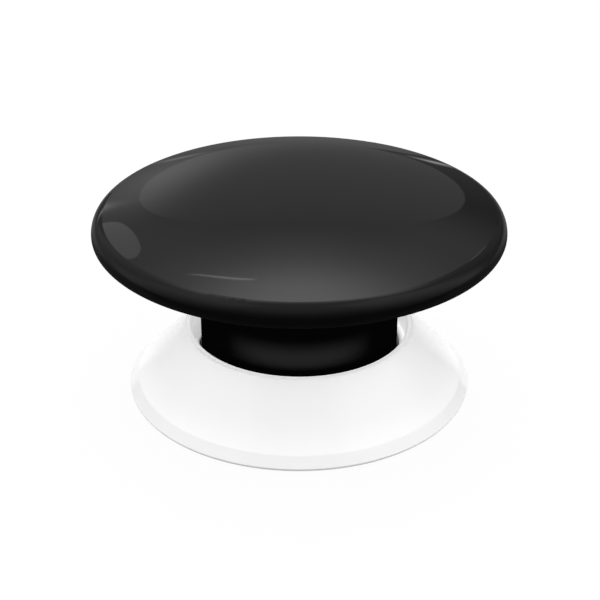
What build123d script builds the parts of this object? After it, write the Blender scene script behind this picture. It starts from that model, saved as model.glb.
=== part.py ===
from build123d import *
from math import asin, atan2, cos, degrees, hypot, pi, radians, sin, sqrt, tan
import os

# Smart button: a lens-shaped cap that presses down on a neck, which twist-locks into a flared base.
# Millimetres. The origin is the centre of the mounting pad's underside, and +Z is up.

os.makedirs("parts", exist_ok=True)

# Cap
cap_diameter = 46.0
crown_radius = 82.6
rim_radius = 1.8
edge_radius = 0.9
cap_wall = 1.4
hub_thickness = 2.0
press_travel = 0.4

# Stack between the neck's flange and the crown of the cap
board_thickness = 0.8
switch_height = 1.5
switch_cover_thickness = 0.2
actuator_pad_thickness = 0.6
actuator_boss_length = 0.9

# Neck, sized by the standard coin cell in its foot
cell_diameter = 20.0
cell_height = 3.2
cell_gap = 0.25
neck_wall = 1.08
neck_height = 16.5
flange_width = 3.07
flange_thickness = 1.3

# Base, whose skirt flares out from the socket to 39.44 across
socket_wall = 1.05
skirt_width = 6.32
base_height = 7.55
base_wall = 1.4
bevel_width = 0.97
bevel_height = 1.06
foot_round = 0.4
lip_round = 0.45
lip_slope = 51.0
well_width = 1.02
plate_thickness = 1.4
pad_thickness = 0.8
pad_recess = 0.4

# Clearances
slide_gap = 0.2
rest_gap = 0.1
lock_gap = 0.15
foot_gap = 0.3
assembly_gap = 0.05
actuator_gap = 0.05
running_gap = 0.1

# Twist lock
lock_count = 3
lug_angle = 24.0
lug_height = 1.2
lug_rise = 0.3
ledge_height = 1.55
ledge_gap = 0.27
unlock_angle = 45.0
entry_margin = 2.0
stop_angle = 6.0
stop_margin = 0.8
overrun = 1.0

# Levels, from the floor up
rim_bottom_z = pad_thickness - pad_recess
plate_top_z = rim_bottom_z + plate_thickness
neck_foot_z = plate_top_z + foot_gap
board_seat_z = neck_foot_z + neck_height
flange_under_z = board_seat_z - flange_thickness
dish_floor_z = flange_under_z - rest_gap
hub_z = dish_floor_z - hub_thickness
board_top_z = board_seat_z + board_thickness
switch_top_z = board_top_z + switch_height
cover_top_z = switch_top_z + switch_cover_thickness
plunger_top_z = cover_top_z + 2 * press_travel
actuator_pad_z = plunger_top_z + actuator_gap
inner_apex_z = actuator_pad_z + actuator_pad_thickness + actuator_boss_length
apex_z = inner_apex_z + cap_wall

# Radii
cap_radius = cap_diameter / 2
cell_radius = cell_diameter / 2
bore_radius = cell_radius + cell_gap
neck_radius = bore_radius + neck_wall
flange_radius = neck_radius + flange_width
hub_radius = neck_radius + slide_gap
well_radius = neck_radius + well_width
ledge_radius = neck_radius + ledge_gap
socket_radius = well_radius + socket_wall
base_radius = socket_radius + skirt_width
bevel_radius = base_radius - bevel_width

# Lens form of the cap: a shallow crown, a tight rim and a rounded edge
crown_share = (cap_radius - rim_radius) / (crown_radius - rim_radius)
crown_angle = degrees(asin(crown_share))
crown_rise = crown_radius - (crown_radius - rim_radius) * sqrt(1 - crown_share**2)
rim_z = apex_z - crown_rise
crown_centre = (0, apex_z - crown_radius)
rim_centre = (cap_radius - rim_radius, rim_z)
edge_centre = (cap_radius - edge_radius, rim_z)

# Conical underside, from the hub to where it meets the rounded edge without a break
edge_run = edge_centre[0] - hub_radius
edge_climb = rim_z - hub_z
underside = atan2(edge_climb, edge_run) - asin(edge_radius / hypot(edge_run, edge_climb))
underside_angle = degrees(underside)

# Inner faces of the cap
inner_crown_radius = crown_radius - cap_wall
inner_rim_radius = rim_radius - cap_wall
inner_wall_radius = cap_radius - cap_wall


def underside_z(radius):
    """Height of the cap's conical underside at a radius."""
    return hub_z + (radius - hub_radius) * tan(underside)


def inner_crown_z(radius):
    """Height of the crown's inner face at a radius."""
    return crown_centre[1] + sqrt(inner_crown_radius**2 - radius**2)


def radial_plane(angle):
    """A plane through the Z axis at an angle, its x pointing outwards and its y up."""
    outwards = (cos(radians(angle)), sin(radians(angle)), 0)
    across = (sin(radians(angle)), -cos(radians(angle)), 0)
    return Plane(origin=(0, 0, 0), x_dir=outwards, z_dir=across)


def save(piece, label):
    """Label a finished piece and write it to its own file."""
    piece.part.label = label
    export_step(piece.part, f"parts/{label}.step")


# Base cover: a flared skirt with a rolled lip, a well for the neck and a ledge for its lugs
lug_foot_z = neck_foot_z + lug_rise
lug_top_z = lug_foot_z + lug_height
ledge_under_z = lug_top_z + lock_gap
ledge_top_z = ledge_under_z + ledge_height
lip_z = rim_bottom_z + base_height
lip_centre = (well_radius + lip_round, lip_z - lip_round)
lip_tangent = (cos(radians(lip_slope)), -sin(radians(lip_slope)))
lip_end = (
    lip_centre[0] + lip_round * sin(radians(lip_slope)),
    lip_centre[1] + lip_round * cos(radians(lip_slope)),
)
bevel_foot_z = rim_bottom_z + foot_round
bevel_top_z = bevel_foot_z + bevel_height
skirt_slope = (lip_end[1] - bevel_top_z) / (bevel_radius - lip_end[0])
skirt_drop = base_wall * sqrt(1 + skirt_slope**2)
hollow_top_z = lip_end[1] - (socket_radius - lip_end[0]) * skirt_slope - skirt_drop
hollow_foot_radius = bevel_radius - (plate_top_z - bevel_top_z + skirt_drop) / skirt_slope
rebate_width = 1.2
rebate_radius = bevel_radius - rebate_width
screw_count = 3
boss_offset = 0.84
screw_circle_radius = socket_radius + boss_offset
screw_turn = 60.0
boss_radius = 1.5
boss_height = 2.3
base_pilot_radius = 0.65
base_pilot_depth = 2.1
rib_count = 6
rib_thickness = 0.8
rib_turn = 30.0

with BuildPart() as base_flare:
    with BuildSketch(Plane.XZ):
        with BuildLine():
            Line((rebate_radius, rim_bottom_z), (base_radius - foot_round, rim_bottom_z))
            foot_arc = CenterArc((base_radius - foot_round, bevel_foot_z), foot_round, -90, 90)
            Line(foot_arc @ 1, (bevel_radius, bevel_top_z))
            CenterArc(lip_centre, lip_round, 90 - lip_slope, 90 + lip_slope)
            TangentArc(lip_end, (bevel_radius, bevel_top_z), tangent=lip_tangent)
            Polyline(
                (well_radius, lip_z - lip_round),
                (well_radius, ledge_top_z),
                (ledge_radius, ledge_top_z),
                (ledge_radius, ledge_under_z),
                (well_radius, ledge_under_z),
                (well_radius, plate_top_z),
                (socket_radius, plate_top_z),
                (socket_radius, hollow_top_z),
                (hollow_foot_radius, plate_top_z),
                (rebate_radius, plate_top_z),
                (rebate_radius, rim_bottom_z),
            )
        make_face()
    revolve(axis=Axis.Z)
    # Radial ribs that stiffen the hollow skirt
    for rib in range(rib_count):
        with BuildSketch(radial_plane(rib_turn + rib * 360 / rib_count)):
            with BuildLine():
                Polyline(
                    (socket_radius - socket_wall / 2, plate_top_z),
                    (hollow_foot_radius, plate_top_z),
                    (socket_radius - socket_wall / 2, hollow_top_z),
                    close=True,
                )
            make_face()
        extrude(amount=rib_thickness / 2, both=True)
    # Bosses for the screws of the closing plate
    with BuildSketch(Plane.XY.offset(plate_top_z)):
        with PolarLocations(screw_circle_radius, screw_count, start_angle=screw_turn):
            Circle(boss_radius)
    extrude(amount=boss_height)
    with BuildSketch(Plane.XY.offset(plate_top_z)):
        with PolarLocations(screw_circle_radius, screw_count, start_angle=screw_turn):
            Circle(base_pilot_radius)
    extrude(amount=base_pilot_depth, mode=Mode.SUBTRACT)
    # Entries in the ledge, and the stops that end the twist each way
    entry_angle = lug_angle + 2 * entry_margin
    for lock in range(lock_count):
        lug_middle = lock * 360 / lock_count
        with BuildSketch(radial_plane(lug_middle + unlock_angle - entry_angle / 2)):
            with Locations((well_radius, ledge_under_z)):
                Rectangle(well_width + ledge_gap, ledge_height, align=(Align.MAX, Align.MIN))
        revolve(axis=Axis.Z, revolution_arc=entry_angle, mode=Mode.SUBTRACT)
        reach = lug_angle / 2 + stop_margin
        for stop_start in (-reach - stop_angle, unlock_angle + reach):
            with BuildSketch(radial_plane(lug_middle + stop_start)):
                with Locations((ledge_radius, lug_foot_z)):
                    Rectangle(
                        socket_radius - socket_wall / 2 - ledge_radius,
                        lug_height + lock_gap,
                        align=(Align.MIN, Align.MIN),
                    )
            revolve(axis=Axis.Z, revolution_arc=stop_angle)
save(base_flare, "base_flare")

# Closing plate, with a recess for the mounting pad below and a ring for the cushion above
pad_margin = 1.3
plate_radius = rebate_radius - assembly_gap
pad_radius = plate_radius - pad_margin
pad_edge = 0.15
cushion_radius = 7.0
cushion_ring_width = 0.8
cushion_ring_height = 0.35
base_screw_radius = 0.6
base_screw_length = 2.0
base_head_radius = 1.2
base_head_height = 0.6
countersink_angle = 90.0
recess_floor_z = rim_bottom_z + pad_recess
clearance_radius = base_screw_radius + running_gap

with BuildPart() as base_plate:
    with BuildSketch(Plane.XY.offset(rim_bottom_z)):
        Circle(plate_radius)
    extrude(amount=plate_thickness)
    with BuildSketch(Plane.XY.offset(rim_bottom_z)):
        Circle(pad_radius + assembly_gap)
    extrude(amount=pad_recess, mode=Mode.SUBTRACT)
    with BuildSketch(Plane.XY.offset(plate_top_z)):
        Circle(cushion_radius + assembly_gap + cushion_ring_width)
        Circle(cushion_radius + assembly_gap, mode=Mode.SUBTRACT)
    extrude(amount=cushion_ring_height)
    with Locations(Plane(origin=(0, 0, recess_floor_z), x_dir=(1, 0, 0), z_dir=(0, 0, -1))):
        with PolarLocations(screw_circle_radius, screw_count, start_angle=-screw_turn):
            CounterSinkHole(
                clearance_radius,
                base_head_radius + assembly_gap,
                depth=plate_thickness,
                counter_sink_angle=countersink_angle,
            )
save(base_plate, "base_plate")

# Three countersunk screws that join the plate to the base cover
screw_recess_radius = base_head_radius / 2
screw_recess_depth = base_head_height / 2
with BuildPart() as base_screw:
    with BuildSketch(Plane.XZ):
        with BuildLine():
            Polyline(
                (0, recess_floor_z),
                (base_head_radius, recess_floor_z),
                (base_screw_radius, recess_floor_z + base_head_height),
                (base_screw_radius, recess_floor_z + base_screw_length),
                (0, recess_floor_z + base_screw_length + base_screw_radius / 2),
                close=True,
            )
        make_face()
    revolve(axis=Axis.Z)
    with BuildSketch(Plane.XY.offset(recess_floor_z)):
        RegularPolygon(screw_recess_radius, 6)
    extrude(amount=screw_recess_depth, mode=Mode.SUBTRACT)
with BuildPart() as base_screws:
    with PolarLocations(screw_circle_radius, screw_count, start_angle=screw_turn):
        add(base_screw.part)
save(base_screws, "base_screws")

# Adhesive foam pad that stands on the floor or sticks to a wall
with BuildPart() as mounting_pad:
    with BuildSketch():
        Circle(pad_radius)
    extrude(amount=pad_thickness)
    chamfer(mounting_pad.faces().sort_by(Axis.Z)[0].edges(), length=pad_edge)
save(mounting_pad, "mounting_pad")

# Coin cell in the foot of the neck, its can below and its cap above
cell_lift = 0.5
cell_step = 1.2
cell_cap_proud = 0.25
cell_crimp = 0.6
gasket_width = 0.45
can_edge = 0.3
cell_z = neck_foot_z + cell_lift
cell_top_z = cell_z + cell_height
can_top_z = cell_top_z - cell_cap_proud
cell_cap_radius = cell_radius - cell_step

with BuildPart() as battery_can:
    with BuildSketch(Plane.XY.offset(cell_z)):
        Circle(cell_radius)
    extrude(amount=cell_height - cell_cap_proud)
    chamfer(battery_can.edges().group_by(Axis.Z)[0], length=can_edge)
    chamfer(battery_can.edges().group_by(Axis.Z)[-1], length=can_edge)
    with BuildSketch(Plane.XY.offset(can_top_z)):
        Circle(cell_cap_radius)
    extrude(amount=-cell_crimp, mode=Mode.SUBTRACT)
save(battery_can, "battery_can")

with BuildPart() as battery_gasket:
    with BuildSketch(Plane.XY.offset(can_top_z - cell_crimp)):
        Circle(cell_cap_radius)
        Circle(cell_cap_radius - gasket_width, mode=Mode.SUBTRACT)
    extrude(amount=cell_crimp)
save(battery_gasket, "battery_gasket")

with BuildPart() as battery_cap:
    with BuildSketch(Plane.XY.offset(can_top_z - cell_crimp)):
        Circle(cell_cap_radius - gasket_width)
    extrude(amount=cell_crimp + cell_cap_proud)
    chamfer(battery_cap.edges().group_by(Axis.Z)[-1], length=cell_cap_proud / 2)
save(battery_cap, "battery_cap")

# Foam cushion on the plate that keeps the cell from rattling
with BuildPart() as battery_cushion:
    with BuildSketch(Plane.XY.offset(plate_top_z)):
        Circle(cushion_radius)
    extrude(amount=foot_gap + cell_lift - lock_gap)
save(battery_cushion, "battery_cushion")

# Neck: a tube with twist-lock lugs at its foot and the board's flange on top
key_count = 3
key_turn = 90.0
key_width = 2.0
key_length = 1.6
key_inset = 1.0
key_height = 1.1
board_screw_inset = 1.3
board_screw_circle_radius = bore_radius - board_screw_inset
board_screw_turn = 30.0
neck_boss_radius = 1.5
neck_boss_length = 5.6
board_pilot_depth = 4.2
board_shank_radius = 0.7
strip_angle = 200.0
strip_thickness = 0.25
strip_width = 2.4
strip_groove_depth = 0.5
neck_edge = 0.25
notch_start_radius = flange_radius - key_inset - slide_gap

with BuildPart() as neck_housing:
    with BuildSketch(Plane.XZ):
        with BuildLine():
            Polyline(
                (bore_radius, neck_foot_z + neck_edge),
                (bore_radius + neck_edge, neck_foot_z),
                (neck_radius - neck_edge, neck_foot_z),
                (neck_radius, neck_foot_z + neck_edge),
                (neck_radius, flange_under_z),
                (flange_radius, flange_under_z),
                (flange_radius, board_seat_z - neck_edge),
                (flange_radius - neck_edge, board_seat_z),
                (bore_radius, board_seat_z),
                close=True,
            )
        make_face()
    revolve(axis=Axis.Z)
    # Lugs that turn in under the base's ledge
    for lock in range(lock_count):
        with BuildSketch(radial_plane(lock * 360 / lock_count - lug_angle / 2)):
            with Locations((neck_radius - neck_wall / 2, lug_foot_z)):
                Rectangle(
                    neck_wall / 2 + well_width - foot_gap,
                    lug_height,
                    align=(Align.MIN, Align.MIN),
                )
        revolve(axis=Axis.Z, revolution_arc=lug_angle)
    # Notches in the flange for the cap's keys
    with BuildSketch(Plane.XY.offset(flange_under_z)):
        with PolarLocations(notch_start_radius, key_count, start_angle=key_turn):
            Rectangle(
                flange_radius - notch_start_radius + overrun,
                key_width + 2 * slide_gap,
                align=(Align.MIN, Align.CENTER),
            )
    extrude(amount=flange_thickness, mode=Mode.SUBTRACT)
    # Screw bosses down the bore
    with BuildSketch(Plane.XY.offset(board_seat_z)):
        with PolarLocations(board_screw_circle_radius, screw_count, start_angle=board_screw_turn):
            Circle(neck_boss_radius)
    extrude(amount=-neck_boss_length)
    with BuildSketch(Plane.XY.offset(board_seat_z)):
        with PolarLocations(board_screw_circle_radius, screw_count, start_angle=board_screw_turn):
            Circle(board_shank_radius + assembly_gap)
    extrude(amount=-board_pilot_depth, mode=Mode.SUBTRACT)
    # Groove down the bore for the positive contact
    with BuildSketch(radial_plane(strip_angle)):
        with Locations((bore_radius - strip_groove_depth, neck_foot_z + cell_lift)):
            Rectangle(
                2 * strip_groove_depth,
                neck_height - cell_lift,
                align=(Align.MIN, Align.MIN),
            )
    extrude(amount=strip_width / 2 + slide_gap, both=True, mode=Mode.SUBTRACT)
save(neck_housing, "neck_housing")

# Cradle that the cell seats against, with the slot for the negative contact
cradle_plate = 1.2
cradle_ring_height = 1.2
cradle_ring_gap = 0.3
cradle_radius = bore_radius - running_gap
cradle_ring_radius = cell_cap_radius + cradle_ring_gap
cradle_under_z = cell_top_z + cradle_ring_height
negative_angle = 20.0
negative_radius = 6.2
negative_width = 2.6
negative_thickness = 0.2

with BuildPart() as cell_cradle:
    with BuildSketch(Plane.XZ):
        with BuildLine():
            Polyline(
                (0, cradle_under_z),
                (cradle_ring_radius, cradle_under_z),
                (cradle_ring_radius, can_top_z),
                (cradle_radius, can_top_z),
                (cradle_radius, cradle_under_z + cradle_plate),
                (0, cradle_under_z + cradle_plate),
                close=True,
            )
        make_face()
    revolve(axis=Axis.Z)
    with BuildSketch(radial_plane(negative_angle)):
        with Locations((negative_radius, cradle_under_z)):
            Rectangle(
                2 * negative_thickness,
                cradle_plate,
                align=(Align.CENTER, Align.MIN),
            )
    extrude(amount=negative_width / 2 + slide_gap, both=True, mode=Mode.SUBTRACT)
save(cell_cradle, "cell_cradle")

# Contacts, bent from strip: the positive one down the wall, the negative one through the cradle
strip_bend = 0.5
finger_reach = 2.2
strip_foot = 1.4
with BuildPart() as positive_contact:
    strip_centre = bore_radius + strip_groove_depth - strip_thickness / 2 - assembly_gap
    cell_touch = cell_radius + strip_thickness / 2
    with BuildSketch(radial_plane(strip_angle)):
        with BuildLine() as strip_path:
            FilletPolyline(
                (strip_centre - strip_foot, board_seat_z - strip_thickness / 2),
                (strip_centre, board_seat_z - strip_thickness / 2),
                (strip_centre, cell_top_z),
                (cell_touch, cell_z + cell_height / 2),
                (strip_centre, cell_z + cell_height / 8),
                radius=strip_thickness,
            )
        trace(line_width=strip_thickness)
    extrude(amount=strip_width / 2, both=True)
save(positive_contact, "positive_contact")

with BuildPart() as negative_contact:
    touch_z = cell_top_z + negative_thickness / 2
    with BuildSketch(radial_plane(negative_angle)):
        with BuildLine():
            FilletPolyline(
                (negative_radius - strip_foot, board_seat_z - negative_thickness / 2),
                (negative_radius, board_seat_z - negative_thickness / 2),
                (negative_radius, cradle_under_z - strip_bend),
                (0, touch_z),
                (-finger_reach, cradle_under_z - strip_bend),
                radius=negative_thickness,
            )
        trace(line_width=negative_thickness)
    extrude(amount=negative_width / 2, both=True)
save(negative_contact, "negative_contact")

# Round circuit board on the flange
board_margin = 3.55
tongue_width = 1.2
dish_radius = inner_wall_radius - assembly_gap
tongue_inner_radius = dish_radius - tongue_width
board_radius = tongue_inner_radius - board_margin

with BuildPart() as main_board:
    with BuildSketch(Plane.XY.offset(board_seat_z)):
        Circle(board_radius)
        with PolarLocations(board_screw_circle_radius, screw_count, start_angle=board_screw_turn):
            Circle(board_shank_radius + running_gap, mode=Mode.SUBTRACT)
    extrude(amount=board_thickness)
save(main_board, "main_board")

board_head_radius = 1.35
board_head_height = 0.8
board_screw_length = 3.8
with BuildPart() as board_screws:
    with BuildSketch(Plane.XY.offset(board_top_z)):
        with PolarLocations(board_screw_circle_radius, screw_count, start_angle=board_screw_turn):
            Circle(board_head_radius)
    extrude(amount=board_head_height)
    chamfer(board_screws.edges().group_by(Axis.Z)[-1], length=board_head_height / 3)
    with BuildSketch(Plane.XY.offset(board_top_z)):
        with PolarLocations(board_screw_circle_radius, screw_count, start_angle=board_screw_turn):
            Circle(board_shank_radius)
    extrude(amount=-board_screw_length)
    with BuildSketch(Plane.XY.offset(board_top_z + board_head_height)):
        with PolarLocations(board_screw_circle_radius, screw_count, start_angle=board_screw_turn):
            RegularPolygon(board_head_radius / 2, 6)
    extrude(amount=-board_head_height / 2, mode=Mode.SUBTRACT)
save(board_screws, "board_screws")

# Tactile switch: body, snap dome, plunger, cover and legs
switch_width = 5.2
switch_wall = 0.4
switch_floor = 0.35
switch_edge = 0.3
plunger_shoulder = 0.65
plunger_flange_height = 0.4
snap_thickness = 0.1
snap_rise = press_travel
switch_cavity_radius = switch_width / 2 - switch_wall
plunger_flange_radius = switch_cavity_radius - foot_gap
plunger_radius = plunger_flange_radius - plunger_shoulder
cavity_floor_z = board_top_z + switch_floor
plunger_flange_z = switch_top_z - plunger_flange_height - assembly_gap

with BuildPart() as switch_body:
    with BuildSketch(Plane.XY.offset(board_top_z)):
        RectangleRounded(switch_width, switch_width, switch_edge)
    extrude(amount=switch_height)
    with BuildSketch(Plane.XY.offset(switch_top_z)):
        Circle(switch_cavity_radius)
    extrude(amount=switch_floor - switch_height, mode=Mode.SUBTRACT)
save(switch_body, "switch_body")

with BuildPart() as switch_cover:
    with BuildSketch(Plane.XY.offset(switch_top_z)):
        RectangleRounded(switch_width, switch_width, switch_edge)
        Circle(plunger_radius + running_gap, mode=Mode.SUBTRACT)
    extrude(amount=switch_cover_thickness)
save(switch_cover, "switch_cover")

snap_radius = switch_cavity_radius - running_gap
snap_form_radius = (snap_radius**2 + snap_rise**2) / (2 * snap_rise)
snap_centre = (0, cavity_floor_z + snap_rise - snap_form_radius)
snap_angle = degrees(asin(snap_radius / snap_form_radius))
with BuildPart() as snap_dome:
    with BuildSketch(Plane.XZ):
        with BuildLine():
            snap_inner = CenterArc(snap_centre, snap_form_radius, 90, -snap_angle)
            snap_outer = CenterArc(snap_centre, snap_form_radius + snap_thickness, 90, -snap_angle)
            Line(snap_inner @ 0, snap_outer @ 0)
            Line(snap_inner @ 1, snap_outer @ 1)
        make_face()
    revolve(axis=Axis.Z)
save(snap_dome, "snap_dome")

with BuildPart() as switch_plunger:
    with BuildSketch(Plane.XY.offset(plunger_flange_z)):
        Circle(plunger_flange_radius)
    extrude(amount=plunger_flange_height)
    with BuildSketch(Plane.XY.offset(plunger_flange_z)):
        Circle(plunger_radius)
    extrude(amount=plunger_top_z - plunger_flange_z)
    chamfer(switch_plunger.edges().group_by(Axis.Z)[-1], length=running_gap)
save(switch_plunger, "switch_plunger")

leg_width = 0.7
leg_thickness = 0.2
leg_reach = 0.8
leg_spacing = 3.0
leg_z = board_top_z + switch_floor + leg_thickness
with BuildPart() as switch_legs:
    for side in (1, -1):
        for row in (1, -1):
            leg_plane = Plane(
                origin=(0, row * leg_spacing / 2, 0), x_dir=(side, 0, 0), z_dir=(0, -side, 0)
            )
            with BuildSketch(leg_plane):
                with BuildLine():
                    FilletPolyline(
                        (switch_width / 2, leg_z),
                        (switch_width / 2 + leg_reach / 2, leg_z),
                        (switch_width / 2 + leg_reach / 2, board_top_z + leg_thickness / 2),
                        (switch_width / 2 + leg_reach, board_top_z + leg_thickness / 2),
                        radius=leg_thickness / 2 + assembly_gap,
                    )
                trace(line_width=leg_thickness)
            extrude(amount=leg_width / 2, both=True)
save(switch_legs, "switch_legs")

# Parts of the radio circuit on the board
shield_length = 8.0
shield_width = 5.4
shield_height = 1.3
shield_wall = 0.2
shield_edge = 0.4
shield_place_share = 0.679
shield_y = shield_place_share * board_radius
with BuildPart() as radio_shield:
    with BuildSketch(Plane.XY.offset(board_top_z)):
        with Locations((0, shield_y)):
            RectangleRounded(shield_length, shield_width, shield_edge)
    extrude(amount=shield_height)
    chamfer(radio_shield.edges().group_by(Axis.Z)[-1], length=shield_wall / 2)
    with BuildSketch(Plane.XY.offset(board_top_z)):
        with Locations((0, shield_y)):
            Rectangle(shield_length - 2 * shield_wall, shield_width - 2 * shield_wall)
    extrude(amount=shield_height - shield_wall, mode=Mode.SUBTRACT)
save(radio_shield, "radio_shield")

chip_width = 4.6
chip_height = 0.85
chip_edge = 0.12
chip_place_shares = (-0.583, -0.262)
chip_place = tuple(share * board_radius for share in chip_place_shares)
with BuildPart() as control_chip:
    with BuildSketch(Plane.XY.offset(board_top_z)):
        with Locations(chip_place):
            Rectangle(chip_width, chip_width)
    extrude(amount=chip_height)
    chamfer(control_chip.edges().group_by(Axis.Z)[-1], length=chip_edge)
save(control_chip, "control_chip")

crystal_length = 3.2
crystal_width = 1.6
crystal_height = 0.7
crystal_edge = 0.25
crystal_place_shares = (-0.369, -0.619)
crystal_place = tuple(share * board_radius for share in crystal_place_shares)
with BuildPart() as crystal:
    with BuildSketch(Plane.XY.offset(board_top_z)):
        with Locations(crystal_place):
            RectangleRounded(crystal_length, crystal_width, crystal_edge)
    extrude(amount=crystal_height)
save(crystal, "crystal")

chip_part_length = 1.0
chip_part_width = 0.5
chip_part_height = 0.45
# Each ring of parts: its radius as a share of the board's, its count, first angle and span
part_ring_shares = ((0.75, 5, -62.0, 62.0), (0.857, 6, 128.0, 66.0), (0.44, 3, 72.0, 36.0))
with BuildPart() as board_parts:
    with BuildSketch(Plane.XY.offset(board_top_z)):
        for radius_share, count, start, span in part_ring_shares:
            with PolarLocations(
                radius_share * board_radius, count, start_angle=start, angular_range=span
            ):
                Rectangle(chip_part_length, chip_part_width)
    extrude(amount=chip_part_height)
save(board_parts, "board_parts")

antenna_wire_radius = 0.3
antenna_inset = 0.9
antenna_start_angle = 205.0
antenna_span_angle = 130.0
with BuildPart() as antenna_wire:
    with BuildSketch(radial_plane(antenna_start_angle)):
        with Locations((board_radius - antenna_inset, board_top_z + antenna_wire_radius)):
            Circle(antenna_wire_radius)
    revolve(axis=Axis.Z, revolution_arc=antenna_span_angle)
save(antenna_wire, "antenna_wire")

# Buffer capacitor that hangs from the board into the neck
capacitor_radius = 2.5
capacitor_height = 5.0
capacitor_base_height = 0.7
capacitor_base_width = 5.3
capacitor_corner = 0.9
capacitor_edge = 0.3
with BuildPart() as capacitor_base:
    with BuildSketch(Plane.XY.offset(board_seat_z - capacitor_base_height)):
        Rectangle(capacitor_base_width, capacitor_base_width)
    extrude(amount=capacitor_base_height)
    chamfer(
        capacitor_base.edges().filter_by(Axis.Z).group_by(Axis.X)[0], length=capacitor_corner
    )
save(capacitor_base, "capacitor_base")

with BuildPart() as buffer_capacitor:
    with BuildSketch(Plane.XY.offset(board_seat_z - capacitor_base_height)):
        Circle(capacitor_radius)
    extrude(amount=-capacitor_height)
    chamfer(buffer_capacitor.edges().group_by(Axis.Z)[0], length=capacitor_edge)
save(buffer_capacitor, "buffer_capacitor")

# Cap dome: the upper shell, with the seat of the return spring and the boss over the switch
actuator_pad_radius = 1.7
actuator_boss_radius = 1.9
spring_wire = 0.45
spring_clearance = 0.8
leg_corner = (switch_width / 2 + leg_reach, (leg_spacing + leg_width) / 2)
spring_radius = sqrt(leg_corner[0] ** 2 + leg_corner[1] ** 2) + spring_clearance + spring_wire / 2
spring_turns = 3
seat_width = 1.3
seat_depth = 0.15
spring_guide_width = 0.4
spring_guide_depth = 0.9
snap_groove_depth = 0.25
snap_groove_height = 0.5
snap_groove_lift = 0.3
spring_seat_z = inner_crown_z(spring_radius + seat_width / 2) - seat_depth
shell_middle_z = inner_apex_z + cap_wall / 2
spring_guide_radius = spring_radius - spring_wire / 2 - slide_gap
seam_z = underside_z(inner_wall_radius)
groove_foot_z = seam_z + snap_groove_lift

with BuildPart() as cap_dome:
    with BuildSketch(Plane.XZ):
        with BuildLine():
            crown = CenterArc(crown_centre, crown_radius, 90, -crown_angle)
            rim = CenterArc(rim_centre, rim_radius, 90 - crown_angle, crown_angle - 90)
            edge = CenterArc(edge_centre, edge_radius, 0, underside_angle - 90)
            inner_crown = CenterArc(crown_centre, inner_crown_radius, 90, -crown_angle)
            inner_rim = CenterArc(rim_centre, inner_rim_radius, 90 - crown_angle, crown_angle - 90)
            Line(inner_crown @ 0, crown @ 0)
            Polyline(
                edge @ 1,
                (inner_wall_radius, seam_z),
                (inner_wall_radius, groove_foot_z),
                (inner_wall_radius + snap_groove_depth, groove_foot_z + snap_groove_depth),
                (inner_wall_radius, groove_foot_z + snap_groove_height),
                inner_rim @ 1,
            )
        make_face()
    revolve(axis=Axis.Z)
    with BuildSketch(Plane.XY.offset(spring_seat_z)):
        Circle(spring_radius + seat_width / 2)
        Circle(spring_guide_radius, mode=Mode.SUBTRACT)
    extrude(amount=shell_middle_z - spring_seat_z)
    with BuildSketch(Plane.XY.offset(spring_seat_z - spring_guide_depth)):
        Circle(spring_guide_radius)
        Circle(spring_guide_radius - spring_guide_width, mode=Mode.SUBTRACT)
    extrude(amount=shell_middle_z - spring_seat_z + spring_guide_depth)
    with BuildSketch(Plane.XY.offset(actuator_pad_z + actuator_pad_thickness)):
        Circle(actuator_boss_radius)
    extrude(amount=shell_middle_z - actuator_pad_z - actuator_pad_thickness)
save(cap_dome, "cap_dome")

with BuildPart() as actuator_pad:
    with BuildSketch(Plane.XY.offset(actuator_pad_z)):
        Circle(actuator_pad_radius)
    extrude(amount=actuator_pad_thickness)
save(actuator_pad, "actuator_pad")

# Cap dish: the lower shell, which slides on the neck and is held up under the flange
floor_margin = 0.5
dish_wall = 1.2
hub_edge = 0.3
tongue_top_z = rim_z
dish_rise_z = underside_z(tongue_inner_radius) + dish_wall / cos(underside)

with BuildPart() as cap_dish:
    with BuildSketch(Plane.XZ):
        with BuildLine():
            Polyline(
                (dish_radius, underside_z(dish_radius)),
                (hub_radius + hub_edge, underside_z(hub_radius + hub_edge)),
                (hub_radius, hub_z + hub_edge),
                (hub_radius, dish_floor_z),
                (flange_radius + floor_margin, dish_floor_z),
                (tongue_inner_radius, dish_rise_z),
                (tongue_inner_radius, tongue_top_z),
                (dish_radius, tongue_top_z),
                (dish_radius, groove_foot_z + snap_groove_height - assembly_gap),
                (
                    dish_radius + snap_groove_depth - assembly_gap,
                    groove_foot_z + snap_groove_depth,
                ),
                (dish_radius, groove_foot_z + assembly_gap),
                close=True,
            )
        make_face()
    revolve(axis=Axis.Z)
    # Keys that carry the twist from the cap to the neck
    with BuildSketch(Plane.XY.offset(dish_floor_z)):
        with PolarLocations(flange_radius - key_inset, key_count, start_angle=key_turn):
            Rectangle(key_length, key_width, align=(Align.MIN, Align.CENTER))
    extrude(amount=key_height)
save(cap_dish, "cap_dish")

# Return spring round the switch: one tube along a helix of tangent arcs, two to each quarter turn
spring_foot_z = board_top_z + spring_wire / 2
spring_rise = spring_seat_z - board_top_z - spring_wire
spring_pitch = spring_rise / spring_turns
quarters = 4 * spring_turns


def spring_point(turn):
    """Point of the spring's centre line after a number of turns."""
    angle = 2 * pi * turn
    return Vector(
        spring_radius * cos(angle), spring_radius * sin(angle), spring_foot_z + spring_pitch * turn
    )


def spring_tangent(turn):
    """Direction of the spring's centre line after a number of turns."""
    angle = 2 * pi * turn
    lead = spring_pitch / (2 * pi)
    return Vector(-spring_radius * sin(angle), spring_radius * cos(angle), lead).normalized()


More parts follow.
